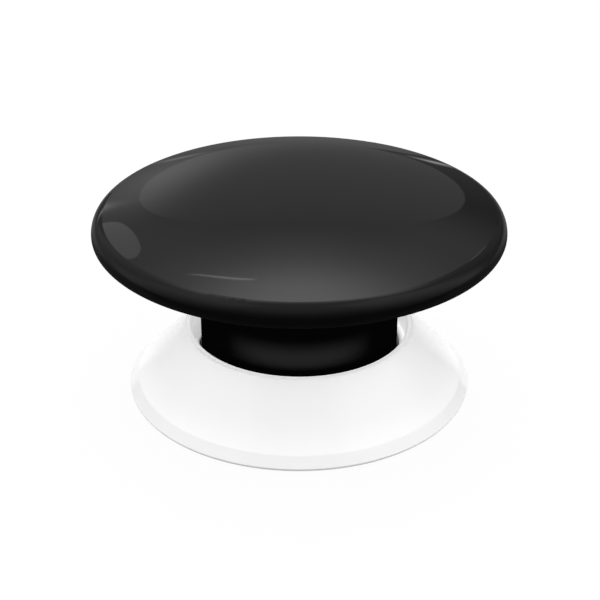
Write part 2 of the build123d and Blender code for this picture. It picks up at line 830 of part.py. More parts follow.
def biarc_joint(start, start_way, end, end_way):
    """Where two tangent arcs from start to end meet, and their common direction there."""
    chord = end - start
    ways = start_way + end_way
    bend = 1 - start_way.dot(end_way)
    along = chord.dot(ways)
    reach = (sqrt(along**2 + 2 * bend * chord.dot(chord)) - along) / (2 * bend)
    first = start + start_way * reach
    second = end - end_way * reach
    return (first + second) * 0.5, (second - first).normalized()


with BuildPart() as return_spring:
    with BuildLine():
        for quarter in range(quarters):
            here, there = quarter / 4, (quarter + 1) / 4
            joint, joint_way = biarc_joint(
                spring_point(here), spring_tangent(here), spring_point(there), spring_tangent(there)
            )
            TangentArc(spring_point(here), joint, tangent=spring_tangent(here))
            TangentArc(joint, spring_point(there), tangent=joint_way)
    with BuildSketch(Plane(origin=spring_point(0), z_dir=spring_tangent(0))):
        Circle(spring_wire / 2)
    sweep()
save(return_spring, "return_spring")
print("spring gap between turns:", round(spring_pitch - spring_wire, 3))
print("overall height:", round(apex_z, 3), "rim height:", round(rim_z, 3))
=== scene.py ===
"""Looks of a round smart button: finishes, foam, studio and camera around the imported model."""

from __future__ import annotations

import logging
import math
from dataclasses import dataclass
from enum import Enum

import bmesh
import bpy
from mathutils import Matrix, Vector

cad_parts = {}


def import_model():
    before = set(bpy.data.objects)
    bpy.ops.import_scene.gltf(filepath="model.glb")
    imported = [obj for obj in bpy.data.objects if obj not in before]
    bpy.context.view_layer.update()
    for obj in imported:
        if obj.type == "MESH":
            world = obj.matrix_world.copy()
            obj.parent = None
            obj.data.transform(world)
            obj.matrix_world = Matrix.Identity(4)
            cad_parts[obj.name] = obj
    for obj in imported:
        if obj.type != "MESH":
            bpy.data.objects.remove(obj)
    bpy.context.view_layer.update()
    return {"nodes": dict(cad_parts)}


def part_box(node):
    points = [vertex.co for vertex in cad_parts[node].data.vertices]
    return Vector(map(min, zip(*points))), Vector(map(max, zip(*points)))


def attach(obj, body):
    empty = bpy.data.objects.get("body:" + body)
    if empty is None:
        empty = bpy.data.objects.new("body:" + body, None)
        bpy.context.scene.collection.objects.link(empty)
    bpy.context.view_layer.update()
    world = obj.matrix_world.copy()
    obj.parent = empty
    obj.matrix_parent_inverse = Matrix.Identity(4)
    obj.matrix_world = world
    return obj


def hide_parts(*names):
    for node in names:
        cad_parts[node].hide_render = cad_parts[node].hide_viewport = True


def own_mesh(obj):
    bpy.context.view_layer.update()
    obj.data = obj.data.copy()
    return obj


LOG = logging.getLogger("smart_button")

MM = 0.001
MERGE_DISTANCE = 0.001 * MM
SHARP_ANGLE = math.radians(32.0)
DEGREES = 180.0 / math.pi
COAT_IOR = 1.5
EVEN_BLEND = 0.5
MEAN_NOISE = 0.5

Point = tuple[float, float]
Triple = tuple[float, float, float]
Colour = Triple

BLACK: Colour = (0.0, 0.0, 0.0)
WHITE: Colour = (1.0, 1.0, 1.0)


class Slot(Enum):
    """The record's material slots."""

    BLACK_GLOSS = "black_gloss"
    WHITE_GLOSS = "white_gloss"
    WHITE_MATTE = "white_matte"
    BLACK_MATTE = "black_matte"
    FOAM = "foam"
    SILICONE = "silicone"
    PLUNGER = "plunger"
    SCREW_STEEL = "screw_steel"
    SPRING_STEEL = "spring_steel"
    CELL_STEEL = "cell_steel"
    CONTACT_METAL = "contact_metal"
    BOARD = "board"
    CERAMIC = "ceramic"


class Body(Enum):
    """The bodies that modelled pieces ride on."""

    BASE = "base"
    HEAD = "head"
    CAP = "cap"


# Shader expressions


class Shade:
    """A socket that is used like a number in Python expressions."""

    def __init__(self, maker: NodeMaker, socket: bpy.types.NodeSocket) -> None:
        """Wrap a socket.

        Args:
            maker: The maker of the tree that the socket is in.
            socket: An output socket.
        """
        self.maker = maker
        self.socket = socket

    def math(self, operation: str, *others: Value) -> Shade:
        """Put a Math node on this value.

        Args:
            operation: The node's operation.
            others: Its other inputs.

        Returns:
            The node's result.
        """
        inputs = dict(enumerate((self, *others)))
        return self.maker.add("ShaderNodeMath", {"operation": operation}, inputs)

    def flipped(self, operation: str, first: Value) -> Shade:
        """Put a Math node on a value and this one, in that order."""
        return self.maker.add("ShaderNodeMath", {"operation": operation}, {0: first, 1: self})

    def __add__(self, other: Value) -> Shade:
        """Add a value."""
        return self.math("ADD", other)

    def __radd__(self, other: Value) -> Shade:
        """Add this to a value."""
        return self.flipped("ADD", other)

    def __sub__(self, other: Value) -> Shade:
        """Take a value from this."""
        return self.math("SUBTRACT", other)

    def __rsub__(self, other: Value) -> Shade:
        """Take this from a value."""
        return self.flipped("SUBTRACT", other)

    def __mul__(self, other: Value) -> Shade:
        """Multiply by a value."""
        return self.math("MULTIPLY", other)

    def __rmul__(self, other: Value) -> Shade:
        """Multiply a value by this."""
        return self.flipped("MULTIPLY", other)

    def __truediv__(self, other: Value) -> Shade:
        """Divide by a value."""
        return self.math("DIVIDE", other)

    def __gt__(self, other: Value) -> Shade:
        """Give 1 where this is above a value."""
        return self.math("GREATER_THAN", other)

    def __lt__(self, other: Value) -> Shade:
        """Give 1 where this is below a value."""
        return self.math("LESS_THAN", other)

    def __abs__(self) -> Shade:
        """Drop the sign."""
        return self.math("ABSOLUTE")

    def ease(self, low: float, high: float) -> Shade:
        """Rise smoothly from 0 to 1.

        Args:
            low: The value up to which the result is 0.
            high: The value from which it is 1.

        Returns:
            The eased value.
        """
        settings = {"interpolation_type": "SMOOTHSTEP"}
        return self.maker.add("ShaderNodeMapRange", settings, {0: self, 1: low, 2: high, 3: 0.0, 4: 1.0})

    def blend(self, low: Value, high: Value) -> Shade:
        """Mix two numbers by this one."""
        return low + (high - low) * self


Value = Shade | float


class NodeMaker:
    """Adds nodes to one node tree."""

    def __init__(self, tree: bpy.types.NodeTree) -> None:
        """Start on a tree."""
        self.tree = tree

    def add(
        self, kind: str, settings: dict | None = None, inputs: dict | None = None, out: int | str = 0,
    ) -> Shade:
        """Add a node.

        Args:
            kind: The node's type.
            settings: Its properties, which are set first.
            inputs: Values or links of its sockets, by name or number.
            out: The output that is wanted.

        Returns:
            That output.
        """
        node = self.tree.nodes.new(kind)
        for name, value in (settings or {}).items():
            setattr(node, name, value)
        for key, value in (inputs or {}).items():
            self.feed(node.inputs[key], value)
        return Shade(self, node.outputs[out])

    def feed(self, socket: bpy.types.NodeSocket, value: Value | Colour) -> None:
        """Link a socket, or set it.

        Args:
            socket: An input socket.
            value: What it gets.
        """
        if isinstance(value, Shade):
            self.tree.links.new(value.socket, socket)
        elif isinstance(value, tuple) and len(socket.default_value) == 4:
            socket.default_value = (*value, 1.0)
        else:
            socket.default_value = value

    def place(self) -> Shade:
        """Give the piece's own coordinates, in metres."""
        return self.add("ShaderNodeTexCoord", out="Object")

    def axis(self, vector: Shade, name: str) -> Shade:
        """Give one axis of a vector."""
        return self.add("ShaderNodeSeparateXYZ", inputs={"Vector": vector}, out=name)

    def noise(self, vector: Shade, grain: float, detail: float = 2.0) -> Shade:
        """Give smooth noise from 0 to 1.

        Args:
            vector: Where it is read.
            grain: The size of its lumps in metres.
            detail: How many finer layers are added.

        Returns:
            The noise.
        """
        inputs = {"Vector": vector, "Scale": 1.0 / grain, "Detail": detail}
        return self.add("ShaderNodeTexNoise", inputs=inputs)

    def stretched(self, vector: Shade, scale: Triple) -> Shade:
        """Scale a vector along its axes."""
        return self.add("ShaderNodeMapping", inputs={"Vector": vector, "Scale": scale})

    def tint(self, mask: Value, low: Shade | Colour, high: Shade | Colour) -> Shade:
        """Mix two colours.

        Args:
            mask: 0 for the first colour and 1 for the second.
            low: The first colour.
            high: The second colour.

        Returns:
            The mixed colour.
        """
        return self.add("ShaderNodeMix", {"data_type": "RGBA"}, {0: mask, 6: low, 7: high}, out=2)

    def bump(self, height: Shade, depth: float) -> Shade:
        """Turn a height into a normal.

        Args:
            height: The height, from 0 to 1.
            depth: The depth of a height of 1, in metres.

        Returns:
            The bumped normal.
        """
        inputs = {"Height": height, "Distance": depth, "Strength": 1.0}
        return self.add("ShaderNodeBump", inputs=inputs)

    def ray(self, kind: str) -> Shade:
        """Give 1 for rays of one kind, named by the Light Path node's output, and 0 for others."""
        return self.add("ShaderNodeLightPath", out=kind)

    def seen(self) -> Shade:
        """Give 1 for the camera's rays and for mirrored and transmitted ones."""
        mirrored, through = self.ray("Is Glossy Ray"), self.ray("Is Transmission Ray")
        return self.ray("Is Camera Ray").math("MAXIMUM", mirrored).math("MAXIMUM", through)


def scaled(colour: Colour, factor: float) -> Colour:
    """Give a lighter or darker colour."""
    return tuple(min(1.0, part * factor) for part in colour)


@dataclass(frozen=True)
class Step:
    """A smooth change of a value between two heights in metres or two angles in degrees.

    Attributes:
        low: Where it starts.
        high: Where it ends.
        change: How much the value changes by.
    """

    low: float
    high: float
    change: float

    def at(self, place: Shade) -> Shade:
        """Work out the change at a height or an angle."""
        return self.change * place.ease(self.low, self.high)


@dataclass(frozen=True)
class Hump:
    """A change of the light over a stretch of azimuths, in degrees.

    Attributes:
        start: The azimuths over which it eases in.
        end: The azimuths over which it eases out.
        change: How much the light changes by.
    """

    start: Point
    end: Point
    change: float

    def at(self, turn: Shade) -> Shade:
        """Work out the change at an azimuth."""
        return self.change * turn.ease(*self.start) * (1.0 - turn.ease(*self.end))


# Finishes


@dataclass(frozen=True)
class Finish:
    """A plain finish, which each kind of surface extends with its own pattern.

    Attributes:
        name: The material's name.
        slot: The record's slot, which is not used.
        colour: Its base colour.
        roughness: Its mean roughness.
        metallic: 1 for bare metal.
        specular: The specular level.
        coat: The weight of the clear surface layer.
        coat_roughness: That layer's roughness.
    """

    name: str
    slot: Slot
    colour: Colour
    roughness: float
    metallic: float = 0.0
    specular: float = 0.5
    coat: float = 0.0
    coat_roughness: float = 0.05

    def make(self) -> bpy.types.Material:
        """Make the material.

        Returns:
            The material with its pattern.
        """
        material = bpy.data.materials.new(self.name)
        material.use_nodes = True
        shader = material.node_tree.nodes["Principled BSDF"]
        constants = {
            "Base Color": (*self.colour, 1.0),
            "Roughness": self.roughness,
            "Metallic": self.metallic,
            "Specular IOR Level": self.specular,
            "Coat Weight": self.coat,
            "Coat Roughness": self.coat_roughness,
            "Coat IOR": COAT_IOR,
        }
        constants.update(self.constants())
        for name, value in constants.items():
            shader.inputs[name].default_value = value
        maker = NodeMaker(material.node_tree)
        for name, value in self.pattern(maker).items():
            maker.feed(shader.inputs[name], value)
        return material

    def constants(self) -> dict[str, Value | Colour]:
        """Give further values that are the same all over the surface."""
        return {}

    def pattern(self, maker: NodeMaker) -> dict[str, Shade]:
        """Work out what changes over the surface, which is nothing on a plain finish.

        Args:
            maker: The maker of the material's tree.

        Returns:
            A value for each of the shader's sockets that changes.
        """
        return {}


@dataclass(frozen=True)
class Polished(Finish):
    """Polished dark plastic whose clear layer changes with height and is faintly wiped.

    Attributes:
        steps: How the layer's weight changes upwards from its lowest part.
        smudge: How much of the layer's weight the wipe marks take.
        fade: The Layer Weight node's facing values over which its gloss fades at grazing sight.
        side_gain: How much its gloss grows towards grazing sight below the cap's shoulder.
        side_facing: The facing values over which it grows.
        shoulder: The heights over which that growth ends.
        wipe_grain: The size of the wipe marks.
        wipe_stretch: Their stretch along the axes, smallest along the marks.
        wipe_tone: How much lighter the plastic is under them.
        dust_grain: The size of the dust's specks.
        dust_share: What the dust takes, as a share of what the wipe marks take.
        skin_grain: The size of the moulded skin's grain.
        skin_depth: That grain's depth.
    """

    steps: tuple[Step, ...] = ()
    smudge: float = 0.04
    fade: Point | None = None
    side_gain: float = 0.0
    side_facing: Point = (0.08, 0.45)
    shoulder: Point = (20.9 * MM, 21.6 * MM)
    wipe_grain: float = 3.0 * MM
    wipe_stretch: Triple = (1.0, 0.25, 1.0)
    wipe_tone: float = 1.3
    dust_grain: float = 0.12 * MM
    dust_share: float = 0.5
    skin_grain: float = 0.05 * MM
    skin_depth: float = 0.002 * MM

    def pattern(self, maker: NodeMaker) -> dict[str, Shade]:
        """Work out the layer's weight and the moulded skin under it.

        Args:
            maker: The maker of the material's tree.

        Returns:
            The sockets that change.
        """
        place = maker.place()
        height = maker.axis(place, "Z")
        weight: Value = self.coat
        for step in self.steps:
            weight = weight + step.at(height)
        facing = maker.add("ShaderNodeLayerWeight", inputs={"Blend": EVEN_BLEND}, out="Facing")
        if self.fade is not None:
            weight = weight * (1.0 - facing.ease(*self.fade))
        if self.side_gain > 0.0:
            side = facing.ease(*self.side_facing) * (1.0 - height.ease(*self.shoulder))
            weight = weight * (1.0 + self.side_gain * side)
        wiped = maker.noise(maker.stretched(place, self.wipe_stretch), self.wipe_grain, 3.0)
        dust = maker.noise(place, self.dust_grain, 1.0)
        film = 1.0 - self.smudge * wiped - self.dust_share * self.smudge * dust
        skin = maker.noise(place, self.skin_grain)
        return {
            "Coat Weight": film * weight,
            "Base Color": maker.tint(wiped, self.colour, scaled(self.colour, self.wipe_tone)),
            "Normal": maker.bump(skin, self.skin_depth),
        }


@dataclass(frozen=True)
class GlossyShell(Finish):
    """Glossy light plastic with a trace of flow marks and orange peel, a painted glow in the well and on
    the upper skirt, and painted shade round the foot.

    Attributes:
        well: The radii from the neck outwards over which a painted glow lightens the well's wall and ledge,
            standing in for light that the cap and neck keep off.
        well_rim: The radii over which that glow ends, at the lip.
        well_floor: The heights over which it starts.
        painted_well_glow: How bright that painted glow is.
        shine_coat: How much less the clear layer mirrors where that glow is.
        thin: The heights over which a faint painted glow sets in on the upper skirt, standing in for light
            that the cap keeps off.
        painted_upper_glow: How bright that painted glow is.
        foot: The heights over which a thin painted shade round the foot fades.
        foot_shade: How dark that painted shade is.
        band: The heights over which a painted shade on the steep band round the foot ends.
        band_shade: How much darker that painted shade makes the band.
        shade_tone: The tone of a full painted shade, as a share of the colour.
        flow_grain: The size of the flow marks.
        flow_tone: Their tone, as a share of the colour.
        peel_grain: The size of the orange peel's dimples.
        peel_dulling: How much they change the roughness.
    """

    well: Point = (11.4 * MM, 12.2 * MM)
    well_rim: Point = (12.6 * MM, 13.2 * MM)
    well_floor: Point = (3.0 * MM, 3.8 * MM)
    painted_well_glow: float = 0.58
    shine_coat: float = 0.8
    thin: Point = (3.5 * MM, 7.4 * MM)
    painted_upper_glow: float = 0.08
    foot: Point = (0.7 * MM, 0.88 * MM)
    foot_shade: float = 0.45
    band: Point = (1.75 * MM, 1.95 * MM)
    band_shade: float = 0.135
    shade_tone: float = 0.2
    flow_grain: float = 5.0 * MM
    flow_tone: float = 0.985
    peel_grain: float = 1.2 * MM
    peel_dulling: float = 0.05

    def constants(self) -> dict[str, Value | Colour]:
        """Give the strength of the painted glow's emission."""
        return {"Emission Strength": 1.0}

    def pattern(self, maker: NodeMaker) -> dict[str, Shade]:
        """Work out the flow marks, the painted glow in the well and on the upper skirt, and the painted
        shade round the foot.

        Args:
            maker: The maker of the material's tree.

        Returns:
            The sockets that change.
        """
        place = maker.place()
        flow = maker.noise(place, self.flow_grain)
        peel = maker.noise(place, self.peel_grain, 1.0)
        across = maker.axis(place, "X")
        along = maker.axis(place, "Y")
        height = maker.axis(place, "Z")
        radius = (across * across + along * along).math("SQRT")
        # Painted glow in the well: emission that stands in for light that the cap and neck keep off.
        light = radius.ease(*self.well) * (1.0 - radius.ease(*self.well_rim))
        light = light * height.ease(*self.well_floor)
        # Painted glow, in the well and faintly on the upper skirt, fed into the emission.
        painted_glow = self.painted_well_glow * light + self.painted_upper_glow * height.ease(*self.thin)
        # Painted shade round the foot and on the steep band above it, put into the base colour.
        shade = self.foot_shade * (1.0 - height.ease(*self.foot))
        shade = shade + self.band_shade * (1.0 - height.ease(*self.band))
        clean = maker.tint(flow, scaled(self.colour, self.flow_tone), self.colour)
        return {
            "Base Color": maker.tint(shade, clean, scaled(self.colour, self.shade_tone)),
            "Roughness": self.roughness + self.peel_dulling * (peel - MEAN_NOISE),
            "Coat Weight": self.coat * (1.0 - self.shine_coat * light),
            "Emission Color": maker.tint(painted_glow, BLACK, self.colour),
        }


@dataclass(frozen=True)
class Moulded(Finish):
    """Moulded plastic with the fine even grain of an eroded tool.

    Attributes:
        grain: The grain's size in metres.
        depth: The grain's depth in metres.
        dulling: How much the grain changes the roughness.
        cloud_grain: The size of faint lighter and darker clouds.
        cloud_tones: Their darkest and lightest tone, as shares of the colour.
    """

    grain: float = 0.12 * MM
    depth: float = 0.012 * MM
    dulling: float = 0.15
    cloud_grain: float = 4.0 * MM
    cloud_tones: Point = (0.9, 1.1)

    def pattern(self, maker: NodeMaker) -> dict[str, Shade]:
        """Work out the grain and the clouds.

        Args:
            maker: The maker of the material's tree.

        Returns:
            The sockets that change.
        """
        place = maker.place()
        grain = maker.noise(place, self.grain, 3.0)
        cloud = maker.noise(place, self.cloud_grain)
        dark, light = self.cloud_tones
        return {
            "Base Color": maker.tint(cloud, scaled(self.colour, dark), scaled(self.colour, light)),
            "Roughness": self.roughness + self.dulling * (grain - MEAN_NOISE),
            "Normal": maker.bump(grain, self.depth),
        }


@dataclass(frozen=True)
class Metal(Finish):
    """Plated or drawn metal with fine lines along one axis.

    Attributes:
        lines: The pattern's stretch along the axes, smallest along the lines.
        tarnish: How far dull patches darken it.
        line_grain: The distance between the lines.
        line_depth: Their depth.
        line_dulling: How much they change the roughness.
        patch_grain: The size of the dull patches.
        patch_dulling: How much rougher they are.
    """

    lines: Triple = (1.0, 0.08, 1.0)
    tarnish: float = 0.15
    line_grain: float = 0.05 * MM
    line_depth: float = 0.002 * MM
    line_dulling: float = 0.18
    patch_grain: float = 2.0 * MM
    patch_dulling: float = 0.1

    def pattern(self, maker: NodeMaker) -> dict[str, Shade]:
        """Work out the lines and the dull patches.

        Args:
            maker: The maker of the material's tree.

        Returns:
            The sockets that change.
        """
        place = maker.place()
        line = maker.noise(maker.stretched(place, self.lines), self.line_grain)
        patch = maker.noise(place, self.patch_grain, 3.0)
        roughness = self.roughness + self.line_dulling * (line - MEAN_NOISE)
        return {
            "Base Color": maker.tint(patch, self.colour, scaled(self.colour, 1.0 - self.tarnish)),
            "Roughness": roughness + self.patch_dulling * patch,
            "Normal": maker.bump(line, self.line_depth),
        }


@dataclass(frozen=True)
class FoamSkin(Finish):
    """Open foam: dark cells with lighter walls.

    Attributes:
        cell: The size of a cell in metres.
        wall: Where a cell's wall ends and its pit starts, as shares of the cell.
        tones: The tones of wall and pit, as shares of the colour.
        wall_roughness: The roughness of a wall.
        pit_dulling: How much rougher a pit is.
        pit_depth: The depth of a pit in metres.
    """

    cell: float = 0.35 * MM
    wall: Point = (0.02, 0.3)
    tones: Point = (1.5, 0.55)
    wall_roughness: float = 0.8
    pit_dulling: float = 0.15
    pit_depth: float = 0.12 * MM

    def pattern(self, maker: NodeMaker) -> dict[str, Shade]:
        """Work out the cells.

        Args:
            maker: The maker of the material's tree.

        Returns:
            The sockets that change.
        """
        place = maker.place()
        settings = {"feature": "DISTANCE_TO_EDGE"}
        inside = maker.add("ShaderNodeTexVoronoi", settings, {"Vector": place, "Scale": 1.0 / self.cell})
        pit = inside.ease(*self.wall)
        light, dark = self.tones
        return {
            "Base Color": maker.tint(pit, scaled(self.colour, light), scaled(self.colour, dark)),
            "Roughness": self.wall_roughness + self.pit_dulling * pit,
            "Normal": maker.bump(1.0 - pit, self.pit_depth),
        }


@dataclass(frozen=True)
class SolderMask(Finish):
    """A circuit board: tracks and pads under green solder mask.

    Attributes:
        pitch: The distance between tracks in metres.
        track_share: The share of the pitch that a track is wide.
        track_chance: The share of cells whose track runs along Y.
        track_tone: The tone of the mask over a track, as a share of the colour.
        pad_share: The radius of a pad as a share of the pitch.
        pad_chance: The share of cells without a pad.
        pad_colour: The colour of a bare pad.
        pad_metal: How metallic a pad is.
        pad_polish: How much less rough a pad is than the mask.
        relief: How far tracks and pads stand up, in metres.
    """

    pitch: float = 0.9 * MM
    track_share: float = 0.14
    track_chance: float = 0.5
    track_tone: float = 2.0
    pad_share: float = 0.26
    pad_chance: float = 0.88
    pad_colour: Colour = (0.85, 0.62, 0.28)
    pad_metal: float = 0.9
    pad_polish: float = 0.08
    relief: float = 0.03 * MM

    def pattern(self, maker: NodeMaker) -> dict[str, Shade]:
        """Work out the tracks, which run along X or Y at random from cell to cell.

        Args:
            maker: The maker of the material's tree.

        Returns:
            The sockets that change.
        """
        place = maker.place()
        across = maker.axis(place, "X") / self.pitch
        along = maker.axis(place, "Y") / self.pitch
        cell = maker.add("ShaderNodeCombineXYZ", inputs={0: across.math("FLOOR"), 1: along.math("FLOOR")})
        chance = maker.add("ShaderNodeTexWhiteNoise", {"noise_dimensions": "2D"}, {"Vector": cell})
        off_x = abs(across.math("FRACT") - 0.5)
        off_y = abs(along.math("FRACT") - 0.5)
        half = 0.5 * self.track_share
        track = (chance > self.track_chance).blend(off_x < half, off_y < half)
        radius = (off_x * off_x + off_y * off_y).math("SQRT")
        pad = (radius < self.pad_share) * (chance > self.pad_chance)
        mask = maker.tint(track, self.colour, scaled(self.colour, self.track_tone))
        return {
            "Base Color": maker.tint(pad, mask, self.pad_colour),
            "Metallic": self.pad_metal * pad,
            "Roughness": self.roughness - self.pad_polish * pad,
            "Normal": maker.bump(track.math("MAXIMUM", pad), self.relief),
        }


BLACK_CAP = Polished(
    "black_cap", Slot.BLACK_GLOSS, (0.0016, 0.0016, 0.0017), 0.3, specular=0.0, coat=0.222,
    coat_roughness=0.03, side_gain=2.0,
    steps=(
        Step(19.0 * MM, 19.3 * MM, -0.218),
        Step(19.6 * MM, 20.4 * MM, 0.016),
        Step(20.6 * MM, 21.85 * MM, 0.272),
        Step(21.85 * MM, 21.98 * MM, 0.008),
    ),
)
BLACK_NECK = Polished(
    "black_neck", Slot.BLACK_GLOSS, (0.0012, 0.0012, 0.0013), 0.3, specular=0.0, coat=0.0,
    coat_roughness=0.14, fade=(0.08, 0.44),
    steps=(Step(7.7 * MM, 8.7 * MM, 0.45), Step(9.4 * MM, 11.8 * MM, -0.448)),
)
WHITE_BASE = GlossyShell(
    "white_base", Slot.WHITE_GLOSS, (0.91, 0.91, 0.91), 0.28, specular=0.0, coat=1.0, coat_roughness=0.03,
)
WHITE_PLATE = Moulded("white_plate", Slot.WHITE_MATTE, (0.82, 0.82, 0.81), 0.55)
BLACK_PLASTIC = Moulded("black_plastic", Slot.BLACK_MATTE, (0.028, 0.028, 0.03), 0.5)
GREY_FOAM = FoamSkin("grey_foam", Slot.FOAM, (0.12, 0.12, 0.12), 0.9, specular=0.2)
GREY_SILICONE = Moulded(
    "grey_silicone", Slot.SILICONE, (0.5, 0.5, 0.48), 0.42, grain=0.3 * MM, depth=0.006 * MM,
)
RED_PLUNGER = Moulded("red_plunger", Slot.PLUNGER, (0.7, 0.25, 0.1), 0.4)
ZINC_SCREW = Metal("zinc_screw", Slot.SCREW_STEEL, (0.5, 0.5, 0.52), 0.34, 1.0, tarnish=0.25)
SPRING_WIRE = Metal("spring_wire", Slot.SPRING_STEEL, (0.6, 0.6, 0.62), 0.26, 1.0, lines=(0.2, 0.2, 1.0))
NICKEL_STEEL = Metal("nickel_steel", Slot.CELL_STEEL, (0.75, 0.75, 0.76), 0.22, 1.0, tarnish=0.08)
GOLD_CONTACT = Metal("gold_contact", Slot.CONTACT_METAL, (0.8, 0.68, 0.42), 0.24, 1.0, tarnish=0.1)
GREEN_BOARD = SolderMask("green_board", Slot.BOARD, (0.03, 0.22, 0.1), 0.32)
BROWN_CERAMIC = Moulded(
    "brown_ceramic", Slot.CERAMIC, (0.42, 0.36, 0.3), 0.38, grain=0.06 * MM, depth=0.004 * MM,
)


# Turned pieces


class Outline:
    """Half the section of a turned piece, drawn from one vertex on in the XZ plane, in metres."""

    def __init__(self, start: Point) -> None:
        """Start the outline.

        Args:
            start: The first point's distance from the axis and height.
        """
        self.mesh = bmesh.new()
        self.tip = self.mesh.verts.new((start[0], 0.0, start[1]))

    def line(self, radius: float, height: float) -> Outline:
        """Draw a straight stretch.

        Args:
            radius: The end's distance from the axis.
            height: The end's height.

        Returns:
            The outline.
        """
        grown = bmesh.ops.extrude_vert_indiv(self.mesh, verts=[self.tip])
        self.tip = grown["verts"][0]
        self.tip.co = (radius, 0.0, height)
        return self

    def arc(self, centre: Point, degrees: float, steps: int) -> Outline:
        """Draw a round stretch by spinning the last vertex.

        Args:
            centre: The arc's centre.
            degrees: The angle, positive from up towards outwards.
            steps: How many edges it has.

        Returns:
            The outline.
        """
        swept = bmesh.ops.spin(
            self.mesh, geom=[self.tip], cent=(centre[0], 0.0, centre[1]), axis=(0.0, 1.0, 0.0),
            angle=math.radians(degrees), steps=steps,
        )
        self.tip = next(item for item in swept["geom_last"] if isinstance(item, bmesh.types.BMVert))
        return self

    def turned(self, name: str, segments: int) -> bpy.types.Object:
        """Turn the outline about the Z axis into a piece.

        Args:
            name: The piece's name.
            segments: How many segments it has all round.

        Returns:
            The piece, linked to the scene.
        """
        bmesh.ops.spin(
            self.mesh, geom=self.mesh.verts[:] + self.mesh.edges[:], cent=(0.0, 0.0, 0.0),
            axis=(0.0, 0.0, 1.0), angle=math.tau, steps=segments, use_merge=True,
        )
        bmesh.ops.remove_doubles(self.mesh, verts=self.mesh.verts[:], dist=MERGE_DISTANCE)
        bmesh.ops.recalc_face_normals(self.mesh, faces=self.mesh.faces[:])
        return as_piece(name, self.mesh)


def as_piece(name: str, mesh: bmesh.types.BMesh) -> bpy.types.Object:
    """Make a smooth-shaded object of a bmesh and free the bmesh.

    Args:
        name: The object's name.
        mesh: Its mesh.

    Returns:
        The object, linked to the scene.
    """
    data = bpy.data.meshes.new(name)
    mesh.to_mesh(data)
    mesh.free()
    data.shade_smooth()
    data.set_sharp_from_angle(angle=SHARP_ANGLE)
    piece = bpy.data.objects.new(name, data)
    bpy.context.scene.collection.objects.link(piece)
    return piece


# Sub-assemblies


class Finishes:
    """The materials, each made once, when it is first asked for."""

    def __init__(self) -> None:
        """Start with none."""
        self.made: dict[str, bpy.types.Material] = {}

    def get(self, finish: Finish) -> bpy.types.Material:
        """Give a finish's material."""
        if finish.name not in self.made:
            self.made[finish.name] = finish.make()
        return self.made[finish.name]


@dataclass
class Assembly:
    """A body with its nodes and the pieces that are modelled for it.

    Attributes:
        nodes: The loaded nodes by name.
        finishes: The materials.
    """

    nodes: dict[str, bpy.types.Object]
    finishes: Finishes

    def dress(self, node: str, finish: Finish) -> None:
        """Put a finish on a node through its material slots.

        Args:
            node: The node's name.
            finish: Its finish.
        """
        for slot in self.nodes[node].material_slots:
            slot.material = self.finishes.get(finish)
        LOG.info("%s: %s", node, finish.name)

    def add(self, piece: bpy.types.Object, body: Body, finish: Finish, *replaced: str) -> None:
        """Put a modelled piece on its body.

        Args:
            piece: The piece.
            body: The body that it rides on.
            finish: Its finish.
            replaced: The nodes that it stands for.
        """
        piece.data.materials.append(self.finishes.get(finish))
        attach(piece, body.value)
        if replaced:
            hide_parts(*replaced)
        LOG.info("%s: modelled, %d faces, rides on %s", piece.name, len(piece.data.polygons), body.value)


@dataclass
class BaseAssembly(Assembly):
    """The white flared base with its plate, screws and foam.

    Attributes:
        foam_edge: The radius that the foam's edges are worn to.
        foam_waist: How far the foam's side is drawn in.
        cushion_crown: How far the cushion under the cell is crowned.
        fill: How full the foam is, which is not used.
        edge_steps: How many steps a worn edge has.
        side_steps: How many steps the drawn-in side has.
        crown_steps: How many steps the crown has.
        segments: How many segments a disc has all round.
    """

    foam_edge: float = 0.12 * MM
    foam_waist: float = 0.06 * MM
    cushion_crown: float = 0.08 * MM
    fill: float = 0.9
    edge_steps: int = 4
    side_steps: int = 8
    crown_steps: int = 12
    segments: int = 128

    def build(self) -> None:
        """Model the foam pieces."""
        for node, crown in (("mounting_pad", 0.0), ("battery_cushion", self.cushion_crown)):
            disc = self.foam_disc(node, crown)
            self.add(disc, Body.BASE, GREY_FOAM, node)

    def foam_disc(self, node: str, crown: float) -> bpy.types.Object:
        """Model a die-cut foam disc in the room of its node.

        Args:
            node: The node's name.
            crown: How far its top is higher in the middle.

        Returns:
            The disc.
        """
        low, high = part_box(node)
        radius = high[0]
        inside = radius - self.foam_edge
        bottom, top = low[2], high[2] - crown
        half = 0.5 * (top - bottom) - self.foam_edge
        side = (half * half + self.foam_waist * self.foam_waist) / (2.0 * self.foam_waist)
        swing = math.degrees(math.asin(half / side))
        side_centre = (radius - self.foam_waist + side, bottom + self.foam_edge + half)
        outline = Outline((0.0, bottom)).line(0.5 * radius, bottom).line(inside, bottom)
        outline.arc((inside, bottom + self.foam_edge), -90.0, self.edge_steps)
        outline.arc(side_centre, 2.0 * swing, self.side_steps)
        outline.arc((inside, top - self.foam_edge), -90.0, self.edge_steps)
        if crown > 0.0:
            dome = (inside * inside + crown * crown) / (2.0 * crown)
            swing = math.degrees(math.asin(inside / dome))
            outline.arc((0.0, high[2] - dome), -swing, self.crown_steps)
        else:
            outline.line(0.5 * radius, top).line(0.0, top)
        return outline.turned(f"{node}_foam", self.segments)

    def finish(self) -> None:
        """Dress the rigid nodes."""
        self.dress("base_flare", WHITE_BASE)
        self.dress("base_plate", WHITE_PLATE)
        self.dress("base_screws", ZINC_SCREW)


